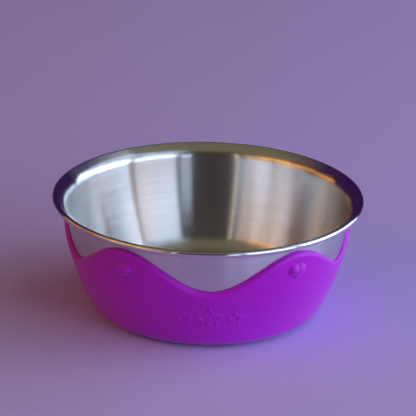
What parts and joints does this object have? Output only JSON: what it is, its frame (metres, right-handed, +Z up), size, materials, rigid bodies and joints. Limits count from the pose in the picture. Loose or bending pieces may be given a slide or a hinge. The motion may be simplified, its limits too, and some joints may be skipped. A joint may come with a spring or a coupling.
{
  "type": "suction bowl",
  "caption": "Round stainless steel feeding bowl in a crown-edged purple silicone sleeve, held to the table by a suction cup with a pull tab.",
  "frame": {"origin": "on the table, under the middle of the bowl", "axes": "+Z up, -Y to the front, where a dip of the crown and the stars are, +Y to the pull tab"},
  "size_m": [0.13, 0.13, 0.0495],
  "materials": {
    "steel": "fine circular brushing with a smoother rim",
    "sleeve_silicone": "satin food-grade silicone",
    "cup_silicone": "smooth soft silicone"
  },
  "bodies": {
    "suction_cup": {"suction_cup": "cup_silicone"},
    "sleeve": {"sleeve": "sleeve_silicone"},
    "bowl": {"steel_bowl": "steel"},
    "release_tab": {"release_tab": "cup_silicone"}
  },
  "joints": [
    {"name": "suction_press", "type": "slide", "parent": "suction_cup", "child": "sleeve", "axis": [0, 0, -1], "range_m": [0, 0.0007], "stiffness_N_per_m": 2500, "springref_m": -0.002, "deforming": ["suction_cup"]},
    {"name": "bowl_lift", "type": "slide", "parent": "sleeve", "child": "bowl", "axis": [0, 0, 1], "range_m": [0, 0.06]},
    {"name": "tab_peel", "type": "hinge", "parent": "suction_cup", "child": "release_tab", "pos_m": [0, 0.0465, 0.0006], "axis": [1, 0, 0], "range_deg": [0, 40], "stiffness_Nm_per_rad": 0.01}
  ]
}
